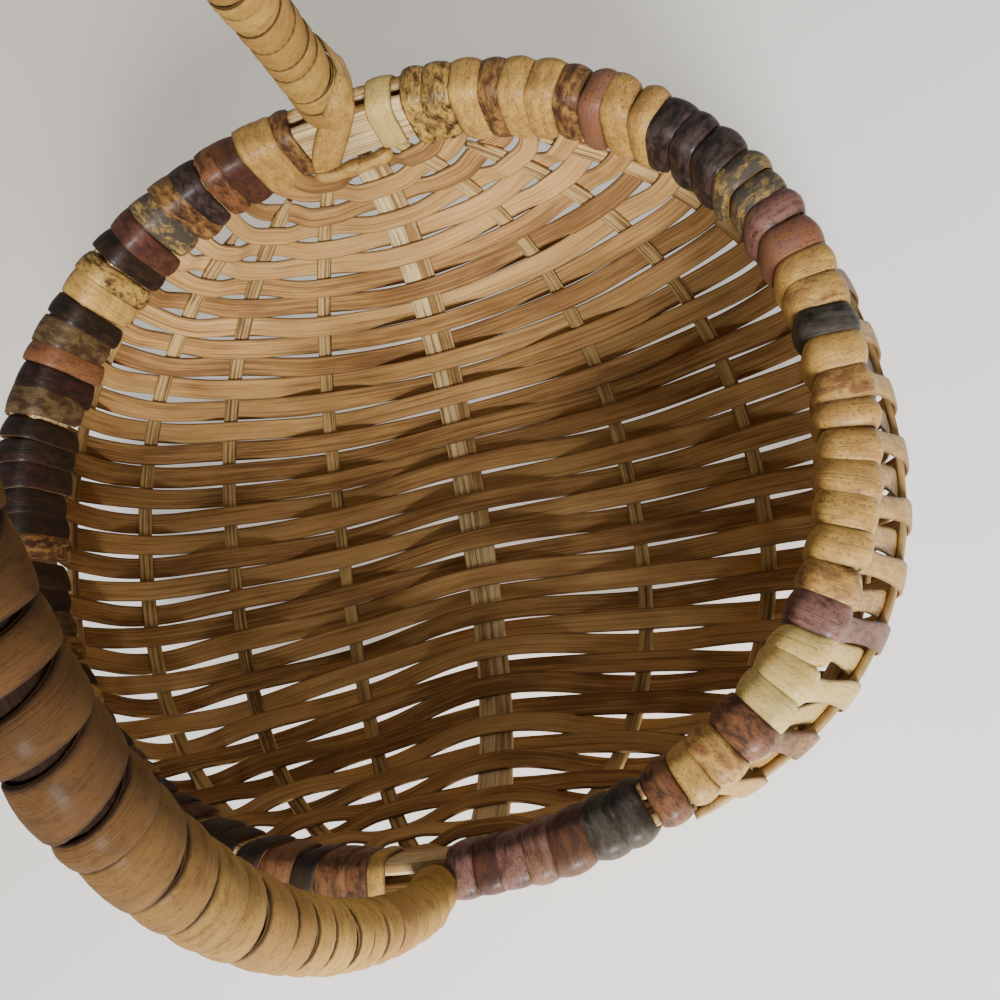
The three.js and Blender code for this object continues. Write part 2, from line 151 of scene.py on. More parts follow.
class BasketColours(bpy.types.PropertyGroup):
    """Colours of the splints' skins, their pith and the straw-coloured wood"""

    yellow: colour("Yellow skin", "Ripe cane skin", 0xC59D50)
    pale: colour("Pale skin", "Pale glossy cane skin", 0xC9B26C)
    tan: colour("Tan skin", "Brownish cane skin", 0xA2783F)
    # The handle's skin towards its middle: partly its own browning, partly painted shade.
    browning_and_shade: colour("Browned and shaded skin", "The handle's browned skin towards its middle", 0x5C3B18)
    # Besides real dark marks, this colour is painted shade at the edges of the splints' skin and pith.
    brown: colour("Brown skin", "Dark brown marks on the skin", 0x3A2516)
    red: colour("Red-brown skin", "Red-brown skin", 0x5C3725)
    wine: colour("Dark red skin", "Dark red skin", 0x3C211B)
    purple: colour("Purple skin", "Purple-grey skin", 0x4C3B37)
    orange: colour("Orange skin", "Red-orange skin", 0x835434)
    pink: colour("Pink skin", "Pinkish brown skin", 0x7D574A)
    olive: colour("Olive skin", "Weathered olive-brown skin", 0x6B5736)
    black: colour("Black skin", "Nearly black skin", 0x15110E)
    grey: colour("Grey skin", "Grey streaks on black skin", 0x49433A)
    pith: colour("Pith", "Inner side of the splints", 0xAF854E)
    pith_dark: colour("Dark pith", "Shaded fibres of the inner side", 0x805A31)
    pith_light: colour("Light pith", "Bright fibres of the inner side", 0xCBA367)
    straw: colour("Straw", "Split wood of the hoops and the middle rib", 0xD6BA86)
    straw_dark: colour("Dark straw", "Grooves in the split wood", 0x96703E)
    rib: colour("Rib wood", "Split wood of the narrow ribs", 0xB7975F)
    rib_dark: colour("Dark rib wood", "Grooves of the narrow ribs", 0x755530)
    # Darker than the rod's own wood: painted shade deep in the cane's slits.
    rod: colour("Rod wood", "The rod in the cane's seams", 0x26180D)
    floor: colour("Floor", "Plain pale floor", 0xEDEAE6)
    floor_shade: colour("Shaded floor", "The floor behind the basket", 0xCBC4B6)


# The skins by letter: the main colour, the colour that mottles it, and how much it mottles
SKINS = {
    "Y": ("yellow", "tan", 0.45),
    "S": ("yellow", "brown", 0.42),
    "T": ("tan", "yellow", 0.45),
    "L": ("pale", "yellow", 0.35),
    "R": ("red", "wine", 0.45),
    "B": ("red", "orange", 0.5),
    "D": ("wine", "tan", 0.36),
    "U": ("wine", "pink", 0.5),
    "P": ("purple", "black", 0.45),
    "O": ("orange", "yellow", 0.42),
    "M": ("orange", "brown", 0.4),
    "N": ("pink", "orange", 0.45),
    "G": ("yellow", "grey", 0.55),
    "V": ("olive", "brown", 0.45),
    "K": ("black", "grey", 0.42),
    "J": ("black", "brown", 0.3),
    "X": ("wine", "black", 0.45),
}

# The skins of the turned ends from the foot at +Y to the foot at -Y, on each side. The left's hold more dark
# skins: partly their own colours, partly painted shade on the rim's left side.
RIGHT_SKINS = "SSTDTYDNYYPPPGGUNYOKTOYYYTTOULLLMOTMKKRU"
LEFT_SKINS = "YRMPDGRJSTJVBXVJJXJJDXJVDJTXJVDPJRJJJBJM"


def rounded(angle, power):
    """Sine and cosine of the angle, each to the power 2/power with its sign kept.

    Together they draw a circle that is squarer the higher the power.
    """
    sine, cosine = np.sin(angle), np.cos(angle)
    share = 2 / power
    return np.sign(sine) * np.abs(sine) ** share, np.sign(cosine) * np.abs(cosine) ** share


def unit(vectors):
    """The vectors at length one."""
    return vectors / np.linalg.norm(vectors, axis=-1, keepdims=True)


def eased(share):
    """3 t squared minus 2 t cubed: a share from 0 to 1 that starts and ends level."""
    share = np.clip(share, 0, 1)
    return share * share * (3 - 2 * share)


def waves(rng, along, length):
    """A gentle random wander between about -1 and 1: three sine waves of falling size."""
    total = np.zeros(len(along))
    for octave, weight in enumerate((0.55, 0.3, 0.15)):
        total += weight * np.sin(2 * np.pi * (along / length * 1.7**octave + rng.random()))
    return total


def padded(points):
    """The points with one more at each end, straight on from the last two."""
    return np.concatenate([2 * points[:1] - points[1:2], points, 2 * points[-1:] - points[-2:-1]])


def cubic(a, b, c, d, share):
    """The cubic curve from b to c whose slope at each is half the step between its neighbours."""
    return 0.5 * (
        2 * b
        + (c - a) * share
        + (2 * a - 5 * b + 4 * c - d) * share**2
        + (3 * b - a - 3 * c + d) * share**3
    )


def through(points, place):
    """A cubic curve through points, at places counted in points."""
    ends = padded(points)
    left = np.clip(np.floor(place).astype(int), 0, len(points) - 2)
    return cubic(*(ends[left + shift] for shift in range(4)), (place - left)[:, None])


def run_along(points):
    """The distance along a line of points, from 0 at the first."""
    steps = np.linalg.norm(np.diff(points, axis=0), axis=1)
    return np.concatenate([[0.0], np.cumsum(steps)])


class Course:
    """A smooth line through close points, measured along its length."""

    def __init__(self, points):
        self.points = points
        self.run = run_along(points)
        self.length = self.run[-1]

    def at(self, distance):
        """The points at these distances from the start."""
        return np.stack([np.interp(distance, self.run, column) for column in self.points.T], -1)


class Weave:
    """The courses of the ribs and of the rim, and the surface that the weavers follow."""

    def __init__(self, sizes):
        self.sizes = sizes
        angle = np.linspace(0, np.pi, 3001)
        sine, cosine = rounded(angle, sizes.rib_power)
        self.ribs = [
            Course(
                np.stack(
                    [
                        ear + (reach - ear) * sine,
                        sizes.rib_end_y * cosine,
                        RIM_LEVEL - sizes.rib_end_depth - (depth - sizes.rib_end_depth) * sine,
                    ],
                    -1,
                )
            )
            for reach, depth, ear in zip(sizes.rib_reaches, sizes.rib_depths, sizes.rib_ears)
        ]
        sine, cosine = rounded(angle, sizes.rim_power)
        level = np.full_like(angle, RIM_LEVEL)
        self.rim = Course(np.stack([sizes.rim_reach_x * sine, sizes.rim_reach_y * cosine, level], -1))

    def point(self, place, row):
        """The points of one rib, or of the rim, at these rows."""
        number = abs(place)
        course = self.rim if number == RIM else self.ribs[number]
        bare = self.sizes.rim_bare if number == RIM else self.sizes.ear_clearance
        point = course.at(bare + (course.length - 2 * bare) * row / ROWS)
        point[..., 0] *= -1 if place < 0 else 1
        return point

    def surface(self, place, row):
        """Points between the ribs: a cubic curve across the basket through all ribs at that row."""
        ribs = padded(np.stack([self.point(k, row) for k in range(-RIM, RIM + 1)]))
        left = np.clip(np.floor(place).astype(int), -RIM, RIM - 1)
        column = np.arange(len(place))
        return cubic(*(ribs[left + RIM + shift, column] for shift in range(4)), (place - left)[:, None])

    def directions(self, place, row):
        """Along the ribs, and out of the basket, at these points of the surface."""
        across = self.surface(place + 0.02, row) - self.surface(place - 0.02, row)
        after, before = np.minimum(row + 0.25, ROWS), np.maximum(row - 0.25, 0)
        along = unit(self.surface(place, after) - self.surface(place, before))
        return along, unit(np.cross(across, along))

    def droop(self, side, distance):
        """How far the hoops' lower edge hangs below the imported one, at a distance from the foot at +Y.

        Over the share t of the way round it is 1 - t squared of the full droop on the left and
        (1 - t) squared on the right. Distances run on over both feet to the other side.
        """
        share = np.abs(distance) / self.rim.length
        side = np.where((share > 1) | (distance < 0), -side, side)
        share = np.where(share > 1, 2 - share, share)
        return self.sizes.hoop_droop * np.where(side < 0, 1 - share**2, (1 - share) ** 2)

    def rib_size(self, place):
        """Width and thickness of a rib."""
        sizes = self.sizes
        if place == 0:
            return sizes.centre_rib_width, sizes.centre_rib_thickness
        return sizes.side_rib_width, sizes.side_rib_thickness


def round_outline():
    """The outline of a round rod, with skin all round."""
    angle = np.linspace(0, 2 * np.pi, 16, endpoint=False)
    return np.cos(angle) / 2, np.sin(angle) / 2, np.ones(len(angle))


def section(points, crown):
    """The outline of a flat strip: across from -0.5 to 0.5, out from -0.5 to 0.5, and the skin side.

    Both faces run over a few points, at the sines of even angles, so that they are close at the
    edges. Only the outermost are bevelled, and the skin face rises by the crown in its middle.
    """
    face = np.sin(np.linspace(-np.pi / 2, np.pi / 2, points)) / 2
    bevel = np.where(np.abs(face) > 0.499, 0.25, 0.0)
    skin_face = 0.5 - bevel + crown * (1 - 4 * face**2)
    pith_face = -0.5 + bevel
    across = np.concatenate([face, face[::-1]])
    out = np.concatenate([skin_face, pith_face[::-1]])
    skin = np.concatenate([np.ones(points), np.zeros(points)])
    return across, out, skin


def sweep(centre, across, width, thickness, outline, cup=0.0, tilt=0.0, closed=False):
    """Carries a strip's outline along a line of centres.

    Each corner is the centre, plus its share of the width along the across direction, plus its
    share of the thickness along the outward direction, which is the line's direction crossed
    with across. The cup lowers the edges by its size times the squared share of the half width,
    and the tilt raises one edge over the other. Returns corners, faces and the corners' values.
    """
    shares, lifts, skin = outline
    count, corners = len(centre), len(shares)
    if closed:
        tangent = unit(np.roll(centre, -1, 0) - np.roll(centre, 1, 0))
    else:
        tangent = unit(np.gradient(centre, axis=0))
    run = run_along(centre)
    across = unit(across - tangent * np.sum(across * tangent, -1, keepdims=True))
    out = np.cross(tangent, across)
    width, thickness, cup, tilt = (
        np.broadcast_to(np.asarray(value, float), count)[:, None] for value in (width, thickness, cup, tilt)
    )
    sideways = shares * width
    outward = lifts * thickness - cup * (2 * shares) ** 2 + tilt * shares
    points = centre[:, None] + across[:, None] * sideways[..., None] + out[:, None] * outward[..., None]
    ring = np.arange(count if closed else count - 1)[:, None] * corners
    corner = np.arange(corners)[None, :]
    following, beside = (ring + corners) % (count * corners), (corner + 1) % corners
    faces = np.stack([ring + corner, ring + beside, following + beside, following + corner], -1)
    first_cap = list(range(corners))
    last_cap = [(count - 1) * corners + corner for corner in reversed(first_cap)]
    caps = [] if closed else [first_cap, last_cap]
    grain = np.stack(
        [np.repeat(run[:, None], corners, 1) / (10 * MM), sideways / MM, np.zeros((count, corners))], -1
    )
    return {
        "points": points.reshape(-1, 3),
        "faces": faces.reshape(-1, 4),
        "caps": caps,
        "grain": grain.reshape(-1, 3),
        "skin": np.tile(skin, count),
        "edge": np.tile(np.abs(2 * shares), count),
        "run": np.repeat(run / max(run[-1], 1e-9), corners),
    }


def joined(shells):
    """Several swept strips as one set of corners, faces and values."""
    result = {key: [] for key in shells[0]}
    offset = 0
    for shell in shells:
        for key, value in shell.items():
            if key == "faces":
                value = value + offset
            if key == "caps":
                value = [[corner + offset for corner in cap] for cap in value]
            result[key].append(value)
        offset += len(shell["points"])
    caps = sum(result.pop("caps"), [])
    return {**{key: np.concatenate(value) for key, value in result.items()}, "caps": caps}


def turned_out(shell):
    """The shell with its faces turned round if the volume that they enclose comes out negative."""
    a, b, c, d = (shell["points"][shell["faces"][:, i]] for i in range(4))
    volume = np.sum(a * np.cross(b, c)) + np.sum(a * np.cross(c, d))
    for cap in shell["caps"]:
        corners = shell["points"][cap]
        fan = np.cross(corners[1:-1], corners[2:])
        volume += np.sum(corners[0] * fan)
    if volume > 0:
        return shell
    return {**shell, "faces": shell["faces"][:, ::-1], "caps": [cap[::-1] for cap in shell["caps"]]}


def build(name, shell, finish, nodes, seed, tones=None, shade=0.5):
    """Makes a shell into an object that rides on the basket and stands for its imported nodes.

    The seed sets its grain off from the other pieces', the tones are a skin's two colours and how
    much they mottle, and the shade is how light its pith is.
    """
    shell = turned_out(shell)
    mesh = bpy.data.meshes.new(name)
    mesh.from_pydata(shell["points"].tolist(), [], shell["faces"].tolist() + shell["caps"])

    def carry(label, kind, field, value):
        data = mesh.attributes.new(label, kind, "POINT").data
        data.foreach_set(field, np.ascontiguousarray(value, np.float32).ravel())

    count = len(shell["points"])
    if tones is not None:
        *colours, mottle = tones
        for label, tone in zip(("main_tone", "second_tone"), colours):
            painted = np.ones((count, 4))
            painted[:, :3] = tone
            carry(label, "FLOAT_COLOR", "color", painted)
        carry("mottle", "FLOAT", "value", np.broadcast_to(mottle, count))
    carry("grain", "FLOAT_VECTOR", "vector", shell["grain"] + [0, 0, seed])
    carry("skin", "FLOAT", "value", shell["skin"])
    carry("edge", "FLOAT", "value", shell["edge"])
    carry("shade", "FLOAT", "value", np.broadcast_to(shade, count))
    mesh.polygons.foreach_set("use_smooth", np.ones(len(mesh.polygons), bool))
    mesh.materials.append(finish)
    piece = bpy.data.objects.new(name, mesh)
    bpy.context.scene.collection.objects.link(piece)
    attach(piece, "root")
    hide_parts(*nodes)


class Wire:
    """An output of a shader node that can be used in sums."""

    def __init__(self, finish, socket):
        self.finish = finish
        self.socket = socket

    def maths(self, operation, first, second):
        """A Math node on two values."""
        return self.finish.node("ShaderNodeMath", {"operation": operation}, {0: first, 1: second})

    def __add__(self, other):
        return self.maths("ADD", self, other)

    __radd__ = __add__

    def __sub__(self, other):
        return self.maths("SUBTRACT", self, other)

    def __rsub__(self, other):
        return self.maths("SUBTRACT", other, self)

    def __mul__(self, other):
        return self.maths("MULTIPLY", self, other)

    __rmul__ = __mul__


class Finish:
    """A procedural material and its one shader."""

    def __init__(self, name):
        self.material = bpy.data.materials.new(name)
        self.material.use_nodes = True
        self.tree = self.material.node_tree
        self.shader = self.tree.nodes["Principled BSDF"]

    def feed(self, socket, value):
        """Links a wire to a socket, or sets the socket's own value."""
        if isinstance(value, Wire):
            self.tree.links.new(value.socket, socket)
        else:
            socket.default_value = value

    def node(self, kind, settings, inputs, output=0):
        """Any node, with its settings made first and then the values or links of its sockets."""
        node = self.tree.nodes.new(kind)
        stops = settings.pop("stops", None)
        for key, value in settings.items():
            setattr(node, key, value)
        if stops:
            ramp = node.color_ramp
            while len(ramp.elements) < len(stops):
                ramp.elements.new(0.5)
            for element, (position, tone) in zip(ramp.elements, stops):
                element.position = position
                element.color = (*tone, 1)
        for key, value in inputs.items():
            self.feed(node.inputs[key], value)
        return Wire(self, node.outputs[output])

    def attribute(self, name, output="Fac"):
        """A value that the mesh carries at its corners."""
        return self.node("ShaderNodeAttribute", {"attribute_name": name}, {}, output)

    def noise(self, vector, stretch, detail=4.0, roughness=0.6, distortion=0.0):
        """Cloudy noise from about 0.3 to 0.7, on a vector with each of its parts multiplied."""
        place = self.node("ShaderNodeVectorMath", {"operation": "MULTIPLY"}, {0: vector, 1: stretch})
        inputs = {"Vector": place, "Scale": 1.0, "Detail": detail, "Roughness": roughness}
        return self.node("ShaderNodeTexNoise", {}, {**inputs, "Distortion": distortion})

    def ramp(self, factor, stops):
        """Colours along a factor."""
        return self.node("ShaderNodeValToRGB", {"stops": stops}, {"Fac": factor})

    def step(self, value, start, end):
        """0 below start, 1 above end, and an eased share between them."""
        inputs = {"Value": value, "From Min": start, "From Max": end}
        return self.node("ShaderNodeMapRange", {"interpolation_type": "SMOOTHSTEP"}, inputs)

    def mix(self, factor, first, second):
        """Two colours mixed by a factor."""
        first, second = (
            value if isinstance(value, Wire) else (*value, 1) for value in (first, second)
        )
        return self.node("ShaderNodeMix", {"data_type": "RGBA"}, {0: factor, 6: first, 7: second}, 2)

    def bump(self, height, strength, distance):
        """A normal from a height."""
        inputs = {"Height": height, "Strength": strength, "Distance": distance}
        return self.node("ShaderNodeBump", {}, inputs)

    def dress(self, **values):
        """Sets the shader's sockets by name, with underscores for spaces."""
        for name, value in values.items():
            self.feed(self.shader.inputs[name.replace("_", " ")], value)


def splint_finish(name, colours, edge_shade=0.5, edge_shade_start=0.78, gloss=1.0):
    """Split cane: fibrous pith on one face, and a glossy mottled skin on the other.

    The edge shade is how much the skin darkens towards its edges, as painted shade where strips
    meet, from the edge shade's start as a share of the half width on, and the gloss is how much
    it shines. The pith darkens at its edges as painted shade too. The grain is in centimetres
    along the strip, millimetres across it and a number of the piece's own, and each noise's three
    numbers multiply these.
    """
    finish = Finish(name)
    grain = finish.attribute("grain", "Vector")
    skin = finish.step(finish.attribute("skin"), 0.55, 0.95)
    shade = finish.attribute("shade")
    edge = finish.attribute("edge")
    fibres = finish.noise(grain, (0.35, 1.3, 1.0), detail=5, roughness=0.7)
    threads = finish.noise(grain, (0.3, 2.4, 1.0), detail=3)
    patches = finish.noise(grain, (0.3, 0.12, 1.0), detail=3)
    pith_factor = fibres * 0.5 + threads * 0.4 + patches * 0.35 + shade * 0.2 - 0.23
    stops = [
        (0.24, np.multiply(colours.pith_dark, 0.65)),
        (0.38, colours.pith_dark),
        (0.5, colours.pith),
        (0.68, colours.pith_light),
    ]
    pith = finish.ramp(pith_factor, stops)
    blush = finish.step(finish.noise(grain, (0.22, 0.2, 1.7), detail=2), 0.52, 0.68)
    pith = finish.mix(blush * 0.25, pith, np.multiply(colours.orange, 0.9))
    cracks = finish.step(finish.noise(grain, (0.14, 1.0, 1.3), detail=5), 0.53, 0.66)
    pith = finish.mix(cracks * 0.55, pith, np.multiply(colours.pith_dark, 0.55))
    # Painted shade where strips meet: the pith darkens at its edges.
    pith = finish.mix(finish.step(edge, 0.8, 1.0) * 0.6, pith, colours.brown)
    blotch = finish.noise(grain, (2.2, 0.4, 1.0), detail=8, roughness=0.7, distortion=0.4)
    mottle = finish.attribute("mottle")
    mask = finish.step(blotch + mottle * 0.55, 0.62, 0.86)
    second_tone = finish.attribute("second_tone", "Color")
    tone = finish.mix(mask, finish.attribute("main_tone", "Color"), second_tone)
    specks = finish.step(finish.noise(grain, (13.0, 1.7, 1.0), detail=4), 0.56, 0.64)
    tone = finish.mix(specks * mottle * 1.4, tone, colours.brown)
    worn = finish.noise(grain, (0.9, 0.3, 1.4), detail=5, roughness=0.65)
    tone = finish.mix(finish.step(worn, 0.42, 0.66) * 0.35, tone, second_tone)
    lines = finish.step(finish.noise(grain, (0.25, 3.6, 1.0), detail=2), 0.5, 0.66)
    tone = finish.mix(lines * 0.2, tone, np.multiply(colours.brown, 1.2))
    # Painted shade where strips meet: the skin darkens towards its edges.
    painted_edge_shade = finish.step(edge, edge_shade_start, 1.0) * edge_shade
    skin_colour = finish.mix(painted_edge_shade, tone, np.multiply(colours.brown, 0.6))
    bare = 1 - skin
    height = fibres * bare + threads * bare * 0.5 + blotch * skin * 0.5 + lines * skin * -0.2
    finish.dress(
        Base_Color=finish.mix(skin, pith, skin_colour),
        Roughness=0.78 - skin * (0.4 * gloss) + blotch * skin * 0.3,
        Coat_Weight=skin * (0.09 * gloss),
        Coat_Roughness=0.25,
        Specular_IOR_Level=0.1 + 0.17 * gloss,
        Normal=finish.bump(height, 0.5, 0.0006),
    )
    return finish.material


def straw_finish(name, light, dark, groove, depth):
    """Split wood with grooves along it; groove is how many run across a millimetre."""
    finish = Finish(name)
    grain = finish.attribute("grain", "Vector")
    grooves = finish.noise(grain, (0.12, groove, 1.0), detail=3, roughness=0.55)
    fibres = finish.noise(grain, (0.5, groove * 3, 1.0), detail=4)
    patches = finish.noise(grain, (0.5, 0.1, 1.0), detail=3)
    factor = grooves * 0.9 + fibres * 0.35 + patches * 0.45 - 0.36
    stops = [
        (0.25, np.multiply(dark, 0.5)),
        (0.4, dark),
        (0.54, light),
        (0.75, np.minimum(np.multiply(light, 1.25), 1)),
    ]
    finish.dress(
        Base_Color=finish.ramp(factor, stops),
        Roughness=0.78 - fibres * 0.15,
        Specular_IOR_Level=0.3,
        Normal=finish.bump(grooves + fibres * 0.4, 0.7, depth),
    )
    return finish.material


def rod_finish(name, colours):
    """Dark wood deep in the cane's seams, darker than its own wood as painted shade in the slits."""
    finish = Finish(name)
    grain = finish.attribute("grain", "Vector")
    fibres = finish.noise(grain, (0.5, 3.0, 1.0), detail=3)
    stops = [(0.35, np.multiply(colours.rod, 0.6)), (0.65, colours.rod)]
    finish.dress(
        Base_Color=finish.ramp(fibres, stops),
        Roughness=0.9 - fibres * 0.1,
        Specular_IOR_Level=0.1,
        Normal=finish.bump(fibres, 0.4, 0.0004),
    )
    return finish.material


def skin_tones(colours, letter):
    """The two colours of a skin and how much they mottle."""
    main, second, mottle = SKINS[letter]
    return np.array(getattr(colours, main)), np.array(getattr(colours, second)), mottle


def wrap_profile(sizes, angle, cup, droop, slack=0.0):
    """Where a strip's middle runs round the two hoops: outward and up, at these angles.

    It is a rounded rectangle, at the hoops' half size plus the gap, the cup and half the strip.
    Its lower half is deeper by the droop, and the part on the inner side by the slack as well.
    """
    corner_power = 3.6
    lift = sizes.seat_gap + cup + sizes.splint_thickness / 2
    rise, outward = rounded(angle, corner_power)
    half_width = sizes.hoop_slot / 2 + sizes.hoop_thickness + lift
    deeper = np.where(rise < 0, droop + np.where(outward < 0, slack * -outward, 0), 0)
    return outward * half_width, rise * (HOOP_HEIGHT / 2 + lift + deeper)


def rim_frame(weave, side, distance):
    """On one side of the rim, at these distances from the foot at +Y: the points, along and outward.

    A distance below zero runs on over the foot to the other side.
    """
    def point(run):
        inside = np.clip(np.abs(run), 0, weave.rim.length)
        past = weave.rim.length - np.abs(run - weave.rim.length)
        inside = np.where(run > weave.rim.length, past, inside)
        found = weave.rim.at(inside)
        found[..., 0] *= np.where((run < 0) | (run > weave.rim.length), -side, side)
        return found

    along = unit(point(distance + 0.5 * MM) - point(distance - 0.5 * MM))
    outward = unit(np.cross(along, UP)) * side
    outward *= np.where(np.sum(outward * point(distance) * [1, 1, 0], -1, keepdims=True) < 0, -1, 1)
    return point(distance), along, outward


def round_hoops(weave, side, distance, outward, rise):
    """A line round the hoops, outward and up from the rim's points, and the way along the rim."""
    middle, along, out = rim_frame(weave, side, distance)
    return middle + out * outward[:, None] + UP * rise[:, None], along


def turned_end(weave, side, row, start, heading, across, rng):
    """A weaver from its last rib to its tuck below the rim.

    A cubic curve leaves the last flat in its own direction and meets the rim's outside going up.
    Then the strip follows the wrap profile over the rim and down its inner side, leaning a
    little along the rim as it goes, to a round tip: there its width falls as the root of 1.04
    minus the squared share of the tip's length. The right side's strips are domed more than the
    left's.
    Returns the line, the way across, how far each point belongs to the wrap, the cup and the
    width's share.
    """
    sizes = weave.sizes
    tip_length = 3 * MM
    lean, shift = rng.normal(0, (1.6 * MM, 0.5 * MM))
    cup = (0.25 if side < 0 else 0.95) * rng.uniform(0.75, 1.25) * MM
    last = rng.uniform(212, 258)
    degrees = np.concatenate([np.linspace(-18, last - 14, 28), np.linspace(last - 12, last, 10)])
    angle = np.radians(degrees)
    bare = sizes.rim_bare
    distance = bare + (weave.rim.length - 2 * bare) * row / ROWS + shift + lean * (angle / np.pi - 0.5)
    droop = weave.droop(side, distance)
    slack = droop * rng.uniform(0.2, 1.1)
    outward, rise = wrap_profile(sizes, angle, cup + rng.uniform(0, 0.4) * MM, droop, slack)
    loop, along = round_hoops(weave, side, distance, outward, rise)
    ahead = unit(loop[1] - loop[0])
    reach = np.linalg.norm(loop[0] - start) * 0.95
    share = np.linspace(0, 1, 13)[1:-1, None]
    bridge = (
        (2 * share**3 - 3 * share**2 + 1) * start
        + (share**3 - 2 * share**2 + share) * heading * reach
        + (3 * share**2 - 2 * share**3) * loop[0]
        + (share**3 - share**2) * ahead * reach
    )
    turn = unit((1 - share) * across + share * along[0])
    line = np.concatenate([bridge, loop])
    blend = np.concatenate([eased(share[:, 0]), np.ones(len(loop))])
    left_over = np.linalg.norm(line - line[-1], axis=1)
    tip = np.sqrt(1.04 - np.clip(1 - left_over / tip_length, 0, 1) ** 2)
    return line, np.concatenate([turn, along]), blend, cup * blend, tip


def weaver_strip(weave, index, rng):
    """One weaver: over and under every rib in its way, and turned over the rim at both ends.

    Its middle is the surface across the basket, lifted off it by half the rib, the gap and half
    the strip, to the outside at one rib and to the inside at the next, with an eased change
    between the flats that lie on the ribs. It wanders a little from its row, and in the bowl it
    is about as wide as the step from row to row. It is narrowest between its last rib and the rim.
    """
    sizes = weave.sizes
    row = index + 0.5
    last = max(k for k in range(RIM) if FIRST_ROWS[k] <= index < ROWS - FIRST_ROWS[k])
    ribs = np.arange(-last, last + 1)
    rows = np.full(len(ribs), row)
    here = np.array([weave.point(k, rows[:1])[0] for k in ribs])
    beyond = weave.point(last + 1, rows[:1])[0]
    spans = np.linalg.norm(np.diff(here, axis=0), axis=1)
    end_span = np.linalg.norm(beyond - here[-1])
    spans = np.concatenate([[end_span], spans, [end_span]])
    widths, thicknesses = np.array([weave.rib_size(k) for k in ribs]).T
    half_flats = widths / 2 + sizes.flat_margin
    faces = np.where((index + np.abs(ribs)) % 2 == 0, 1, -1)
    lifts = faces * (thicknesses / 2 + sizes.seat_gap + sizes.splint_thickness / 2)
    overhang = half_flats[-1] / end_span
    place = np.linspace(-last - overhang, last + overhang, 36 * last + 1)
    left = np.clip(np.floor(place).astype(int), -last, last - 1)
    slot = left + last
    before = half_flats[slot] / spans[slot + 1]
    after = half_flats[slot + 1] / spans[slot + 1]
    share = eased((place - left - before) / (1 - before - after))
    lift = lifts[slot] * (1 - share) + lifts[slot + 1] * share
    wander = 0.08 * waves(rng, place, 5.0) * np.clip((last + 0.3 - np.abs(place)) / 0.5, 0, 1)
    drifting = row + wander
    along, out = weave.directions(place, drifting)
    centre = weave.surface(place, drifting) + out * lift[:, None]
    parts = []
    for side in (-1, 1):
        end, beside = (0, 1) if side < 0 else (-1, -2)
        heading = unit(centre[end] - centre[beside])
        parts.append(turned_end(weave, side, row, centre[end], heading, along[end], rng))
    one_row = weave.surface(place, drifting + 0.5) - weave.surface(place, drifting - 0.5)
    room = np.minimum(np.linalg.norm(one_row, axis=1), sizes.splint_width)
    none = np.zeros(len(centre))
    bowl_cup = none + 0.05 * MM
    middle = (centre, along, none, bowl_cup, none + 1)
    line, across, blend, cup, tip = (
        np.concatenate([at_left[::-1], between, at_right])
        for at_left, between, at_right in zip(parts[0], middle, parts[1])
    )
    room = np.pad(room, (len(parts[0][0]), len(parts[1][0])), "edge")
    count = np.arange(len(line))
    on_left = count < len(line) / 2
    wobble = 1 + 0.04 * waves(rng, count, 60.0) * (1 - blend)
    own_width = room * rng.uniform(0.94, 1.07)
    wrap_width = np.where(on_left, *(sizes.wrap_width * rng.uniform(0.76, 1.1, 2)))
    waist = 1 - 1.1 * blend * (1 - blend)
    width = (own_width * (1 - blend) + wrap_width * blend) * wobble * waist * tip
    tilt = np.where(on_left, *rng.normal((0.5 * MM, 0), 0.5 * MM)) * blend
    strip = sweep(line, across, width, sizes.splint_thickness, section(9, 0.2), cup * tip**2, tilt * tip)
    strip["points"][:, 2] = np.maximum(strip["points"][:, 2], 0)
    return strip


class BasketOperator:
    """What the operators share."""

    bl_options = {"REGISTER", "UNDO"}

    def sizes_and_colours(self, context):
        """The scene's sizes and colours."""
        return context.scene.basket_sizes, context.scene.basket_colours


class BASKET_OT_weavers(BasketOperator, bpy.types.Operator):
    """Weave the splints over and under the ribs and turn their ends over the rim"""

    bl_idname = "basket.weavers"
    bl_label = "Weavers"

    def execute(self, context):
        sizes, colours = self.sizes_and_colours(context)
        weave = Weave(sizes)
        finish = splint_finish("woven_splint", colours)
        rng = np.random.default_rng(7)
        for index in range(ROWS):
            strip = weaver_strip(weave, index, rng)
            tones = self.tones(colours, index, strip["run"])
            build(
                f"splint_{index + 1:02d}", strip, finish, [f"weaver_{index + 1:02d}"],
                seed=3.7 * index, tones=tones, shade=rng.random(),
            )
        return {"FINISHED"}

    def tones(self, colours, index, run):
        """A strip's skin: its two ends' own, eased into each other and into yellow in the bowl."""
        share = eased((run - 0.25) / 0.5)[:, None]
        bowl = eased(1 - np.abs(run - 0.5) / 0.5 * 1.15)[:, None]
        left = skin_tones(colours, LEFT_SKINS[index % len(LEFT_SKINS)])
        right = skin_tones(colours, RIGHT_SKINS[index % len(RIGHT_SKINS)])
        main, second, mottle = (
            at_left * (1 - share) + at_right * share for at_left, at_right in zip(left, right)
        )
        main = main * (1 - bowl) + np.array(colours.yellow) * bowl
        second = second * (1 - bowl) + np.array(colours.tan) * bowl
        return main, second, mottle[:, 0]


